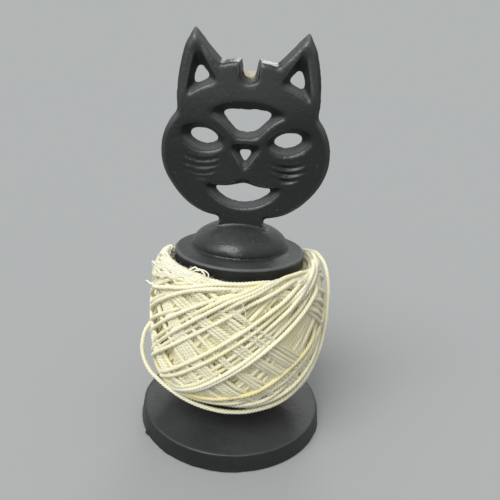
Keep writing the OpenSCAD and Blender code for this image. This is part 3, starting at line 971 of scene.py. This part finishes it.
def stackTurns(laid, outline, b, g):
    # a map of heights over angle and s for each layer: every turn lies on the highest string under it, bridges the
    # hollows as a taut string does, and then raises the map by its own thickness. The next layer starts on what
    # hollows the map has left
    columns, rows, lift, bridge = g["columns"], g["rows"], 0.8 * b["thick"], g["bridge"]
    low, high = outline.s[0], outline.s[-1]
    heights = np.zeros((columns, rows))
    # five points across the string's width, on cells i, j of the map
    across = np.linspace(-0.42, 0.42, 5) * b["thick"]
    for w in laid:
        r = outline.at(w["s"])[0]
        da, ds = np.gradient(w["a"]) * r, np.gradient(w["s"])
        n = np.hypot(da, ds)
        sideA, sideS = -ds / n / r, da / n
        i = np.floor((w["a"][:, None] + across * sideA[:, None]) / (2 * np.pi) * columns).astype(int) % columns
        j = np.floor((w["s"][:, None] + across * sideS[:, None] - low) / (high - low) * rows).astype(int)
        j = np.clip(j, 0, rows - 1)
        found = np.zeros(len(w["a"]))
        for start in range(0, len(found), g["perTurn"]):
            part = slice(start, start + g["perTurn"])
            under = np.pad(heights[i[part], j[part]].max(1), bridge, mode="edge")
            count = len(under) - 2 * bridge
            ridge = np.max([under[k:k + count] for k in range(2 * bridge + 1)], axis=0)
            found[part] = averaged(ridge, 2 * bridge + 1)
            np.maximum.at(heights, (i[part], j[part]), (found[part] + lift)[:, None] + 0 * j[part])
        mean = blurred(heights, g["hollow"])
        lower = mean[i[:, 2], j[:, 2]] - found - lift / 2
        lower = lower - np.percentile(lower, 40)
        proud = 0.8 if w["level"] < 2 else 0.4  # how far a turn may stand out of its layer
        w["depth"] = w["level"] + averaged(np.clip(lower, -proud, 1.5), 11)
        heights = np.clip(heights - mean, -lift, 0.3 * lift)


def blurred(grid, reach):
    # mean over a square of 2 reach + 1 cells, wrapped along the angle and held at the two ends
    wide = np.pad(np.pad(grid, ((reach, reach), (0, 0)), mode="wrap"), ((0, 0), (reach, reach)), mode="edge")
    run = np.pad(np.cumsum(np.cumsum(wide, 0), 1), ((1, 0), (1, 0)))
    k = 2 * reach + 1
    return (run[k:, k:] - run[:-k, k:] - run[k:, :-k] + run[:-k, :-k]) / (k * k)


def addStrand(name, path, out, tone, depth, thick, ply):
    # ring k: path + radius (cos t side + sin t up), side square to the path and to the outward way. With a ply
    # length the corners wind along the string, every second one drawn in as the hollow between two plies
    corner = np.arange(sides)
    step = unit(np.gradient(path, axis=0))
    side = unit(np.cross(step, out))
    up = np.cross(side, step)
    along = lengthAlong(path)
    t = circle(sides) + (2 * np.pi / ply * along[:, None] if ply else 0 * along[:, None])
    uneven = 1 + 0.06 * np.sin(along / 6.1) * np.sin(along / 2.7 + 1)
    radius = thick / 2 * (0.8 + 0.24 * (corner % 2 == 0) if ply else 1.0) * uneven[:, None]
    rings = path[:, None] + radius[..., None] * (np.cos(t)[..., None] * side[:, None]
                                                 + np.sin(t)[..., None] * up[:, None])
    uv = np.stack(np.broadcast_arrays(corner / sides, along[:, None]), -1).reshape(-1, 2)
    faces = [gridFaces(len(path), sides)[:, ::-1], fanFaces(corner),
             fanFaces((len(path) - 1) * sides + corner)[:, ::-1]]
    tone, depth = (np.repeat(np.broadcast_to(c, len(path)), sides) for c in (tone, depth))
    values = {"tone": tone, "depth": depth, "twisted": 1.0 if ply else 0.0}
    piece = addPiece(name, rings.reshape(-1, 3) * mm, faces, cotton, values, uv)
    settle(piece, "string_ball", "string_winding")


def makeLayers(outline, b, g):
    laid = layTurns(g)
    stackTurns(laid, outline, b, g)
    total = 0
    for w in laid:
        pace = 0.6 if w["close"] else 2.2  # points of the curve to a ring
        place = np.arange(0, len(w["a"]) - 1, pace)
        a, s, depth, tone = (np.interp(place, np.arange(len(w["a"])), w[k]) for k in ("a", "s", "depth", "tone"))
        path, out = outline.place(a, np.clip(s, outline.s[0] + 1, outline.s[-1] - 1), depth)
        # both ends of a layer dive under it
        turns = np.minimum(np.arange(len(path)), np.arange(len(path))[::-1]) * pace / g["perTurn"]
        path = path - out * (4.5 * (1 - ramp(turns / 0.05)))[:, None]
        # painted shade share: how much darker a strand is drawn for lying deeper
        shade = np.clip((depth - 1.0) / 2.6, 0, 1)
        count = math.ceil(len(path) * 2 * sides / mostTriangles)
        cuts = np.linspace(0, len(path) - 1, count + 1).astype(int)
        for k, (i, j) in enumerate(zip(cuts[:-1], cuts[1:])):
            part = slice(i, j + 1)
            addStrand(f"{w['name']}{k + 1}", path[part], out[part], tone[part], shade[part], b["thick"],
                      b["ply"] if w["close"] else 0)
        total += lengthAlong(path)[-1] * mm
        print(w["name"], len(path), "rings")
    print("string laid:", round(total, 1), "m")


def makeInside(b):
    rows = refined(rounded(b["inside"] + b["inside"][:1], 2.0, 4), 1.5)[:-1]
    surface = revolve(*rows.T[..., None], 160)
    x, y, z = np.moveaxis(surface, -1, 0)
    z += bell(np.arctan2(y, x), b["flatUnderside"]) * ramp((40 - z) / 20)
    x += b["lean"] * ramp((rows[:, 0] - 10) / 10)[:, None]
    settle(addClosed("stringInside", surface, innerCotton), "string_ball", "string_ball")


# single strands: rows of angle, arc length s and depth under the outline, and after them rows of angle, height and
# distance from the axis
strands = {
    "count": 14,
    "thick": 1.95,
    "ply": 4.2,
    "curl": 0.45,  # how far the matted strands wander, millimetres
    # first strand, and after it the last one's arc length and depth
    "collar": [
        (142, 28, 2.5, 16, 3.5), (155, 33.5, 0.6, 18.5, 2.6), (167, 38, -1.2, 21, 1.6),
        (177, 40.2, -2.5, 22.6, 0.4), (187, 40.4, -2.2, 24.2, -0.9), (197, 40, -1.6, 26.2, -1.6),
        (207, 39.6, -1.2, 29, -1.3), (219, 39, -0.3, 31.4, -0.5), (231, 38.4, 0.1, 32, 0.2),
        (240, 38, 0.5, 31.8, 0.8), (250, 37.5, 1.4, 31.8, 1.9), (262, 38, 3.2, 33, 3.6), (275, 40, 4.5, 34, 5)],
    "stub": [(197.5, 20.6, -2.4), (201, 21, -1.4), (206, 21.7, -0.4), (213, 23.6, 0), (224, 26.6, 0.1),
             (233, 28.7, 0.1), (241, 30.9, 0.1), (248, 33.4, 0.2), (255, 35.4, 0.4), (262, 36.9, 0.7),
             (270, 37.9, 1), (280, 38.8, 1.2), (292, 41, 1.3), (303, 45, 1.5), (312, 50, 3)],
    "hanging": [
        (50, 90, 36), (40, 91.5, 35.8), (31, 93, 36.2), (23, 94.6, 37.2), (16, 95.6, 38.8), (10, 95.6, 41),
        (4, 92.6, 43.8), (-1, 87.6, 45.7), (-4, 80, 47), (-6, 72, 47.4), (-8, 63.8, 47.5), (-11.5, 53.5, 46.7),
        (-19, 47, 45.5), (-29, 42.6, 45.1), (-37, 37.6, 43.9), (-44, 33.6, 42.6), (-53.5, 30.8, 41.6),
        (-64, 28.4, 39.9), (-73, 26.4, 38.1), (-82, 25.2, 36.9), (-95, 24.8, 36.4), (-108, 25.3, 36.8),
        (-121, 25.9, 37.6), (-133, 26.6, 38.6), (-143, 28.6, 41.2), (-149, 31.5, 44.3), (-154, 34.6, 47.2),
        (-158.5, 38.6, 49.2), (-161.5, 43, 50.2), (-163, 47.5, 50), (-165, 53, 48.6), (-166, 58.1, 45.6),
        (-168, 63.5, 43.6), (-171, 69, 42)],
    # wisps of loose fibre at the rim: thickness, then rows
    "wisps": [
        (0.85, [(230, 93.5, 37.3), (234, 95.8, 37.6), (237, 97.2, 37.2), (239, 97.8, 36.8), (241, 97.2, 37),
               (243, 97.7, 37.4), (246, 97, 37.8), (248, 95.8, 38), (247, 94, 37.8)]),
        (0.7, [(236, 94.2, 37.6), (239, 96.4, 37), (242, 96.8, 37.4), (245, 97.6, 37.2), (249, 97.2, 37.6),
               (251, 96, 38), (250, 94.2, 38)]),
        (1, [(207, 94.6, 38), (204, 96.3, 39.3), (200, 97.2, 40.4), (197, 96.2, 41.2), (195, 94, 41.4)]),
        (1, [(193, 89.5, 43.3), (191, 90.4, 44.4), (189, 89.4, 45), (188, 87, 44.6)]),
        (0.9, [(203, 82, 46), (198, 82, 47.2), (195, 81.4, 47.8), (193, 80.2, 47.8)]),
        (0.4, [(275, 87, 43.9), (276, 85, 45.2), (277, 82.5, 45.6), (276.5, 79, 46.2), (277, 77, 45.6)])],
}

# short fibres standing off the string: how many, length and thickness in millimetres, and the part of the ball
# they are drawn from as angles and arc lengths
fuzz = [
    (800, (0.8, 3.0), 0.08, (0, 360), (-58, 40)),
    (620, (1.0, 3.8), 0.12, (176, 252), (20, 42)),
    (90, (1.2, 3.4), 0.24, (231, 250), (37.5, 41)),
]


def makeFuzz(outline, groups):
    # fibre: foot + length t (cos k side + sin k forward) + rise outwards, bent by the square of t. Its corners lie
    # round its way, which is k + bend t + arctan(bend t) from the side
    draw = np.random.default_rng(33)
    rings, corners = 6, 3
    size = rings * corners
    t = np.linspace(0, 1, rings)[:, None]
    corner = circle(corners)[:, None]
    for k, (count, lengths, thick, turns, heights) in enumerate(groups):
        a = np.radians(draw.uniform(*turns, count))
        path, out = outline.place(a, draw.uniform(*heights, count), draw.uniform(-0.1, 0.5, count))
        side = np.stack([-np.sin(a), np.cos(a), 0 * a], -1)
        forward = np.cross(out, side)
        way, bend = draw.uniform(0, 2 * np.pi, count), draw.normal(0, 0.9, count)
        length, rise = draw.uniform(*lengths, count), draw.uniform(0.15, 0.75, count)
        turned = way + bend * t
        line = (path + length[:, None] * t[..., None] * (np.cos(turned)[..., None] * side
                                                         + np.sin(turned)[..., None] * forward)
                + (length * rise * (t - 0.55 * t * t))[..., None] * out)
        heading = (turned + np.arctan(bend * t)).T[..., None]
        across = np.sin(heading) * side[:, None] - np.cos(heading) * forward[:, None]
        ring = np.cos(corner) * out[:, None, None] + np.sin(corner) * across[:, :, None]
        width = thick / 2 * (1 - 0.6 * t)
        points = line.swapaxes(0, 1)[:, :, None] + width[None, :, :, None] * ring
        start = np.arange(count)[:, None, None] * size
        walls = (gridFaces(rings, corners) + start).reshape(-1, 4)
        ends = (np.array([[0, 2, 1], [size - 3, size - 2, size - 1]]) + start).reshape(-1, 3)
        piece = addPiece(f"fuzz{k + 1}", points.reshape(-1, 3) * mm, [walls, ends], cotton,
                         dict.fromkeys(("tone", "depth", "twisted"), 0), np.zeros((count * size, 2)))
        settle(piece, "string_ball", "string_winding")


def evenly(path, pace):
    # rows about pace apart, by their distance over all columns
    length = lengthAlong(path)
    at = np.linspace(0, length[-1], int(length[-1] / pace) + 2)
    return np.stack([np.interp(at, length, c) for c in path.T], -1)


def makeStrands(outline, b, rows):
    draw = np.random.default_rng(5)
    collar = np.array(rows["collar"])
    top, low = collar[:, :3], collar[:, [0, 3, 4]]
    for k in range(rows["count"]):
        f = k / (rows["count"] - 1)
        row = top * (1 - f) + low * f
        row[:, 1] += draw.normal(0, 0.75, len(row))
        row[:, 2] += draw.normal(0, 0.35, len(row))
        addLoose(f"collar{k + 1}", outline, row, rows, 0.1 + 0.5 * (k == rows["count"] - 1), rows["curl"])
    addLoose("looseEnd", outline, rows["stub"], b, 0.1)
    addFree("hangingTurn", rows["hanging"], b, b["thick"], b["ply"])
    for k, (thick, row) in enumerate(rows["wisps"]):
        addFree(f"wisp{k + 1}", row, b, thick, 0)


def addFree(name, rows, b, thick, ply):
    a, z, r = np.array(rows, float).T
    points = polar(r, np.radians(a), z) + [b["lean"], 0, 0]
    path = evenly(curveThrough(points, 10 * len(rows)), 0.5)
    addStrand(name, path, unit(path * [1, 1, 0]), 0.05, 0.0, thick, ply)


def addLoose(name, outline, rows, b, tone, curl=0.0):
    # the curl is a sum of two sines of the angle
    a, s, depth = curveThrough(rows, 10 * len(rows)).T
    phase = len(name) + a[0] + 7 * s[0]
    s = s + curl * (np.sin(a / 2.3 + phase) + 0.6 * np.sin(a / 1.1 + 2 * phase))
    depth = depth + 0.5 * curl * np.sin(a / 1.7 + 3 * phase)
    path, out = outline.place(np.radians(a), s, depth)
    even = evenly(np.concatenate([path, out, depth[:, None]], 1), 0.6)
    path, out, depth = even[:, :3], even[:, 3:6], even[:, 6]
    # the painted shade share from the depth, as for the layers
    addStrand(name, path, out, tone, np.clip((depth - 1.0) / 2.6, 0, 1), b["thick"], b["ply"])


makeFoot(foot)
makeHead(head)
makeSpindle(hardware)
makeNut(hardware)
makeWasher(hardware)
makeScrews(hardware)
dress("cutter_blade", bladeSteel)
dress("core_tube", card)
print("metal parts")
outline = Outline(ball)
makeInside(ball)
makeLayers(outline, ball, laying)
makeStrands(outline, ball, strands)
makeFuzz(outline, fuzz)
print("strands and fibres")
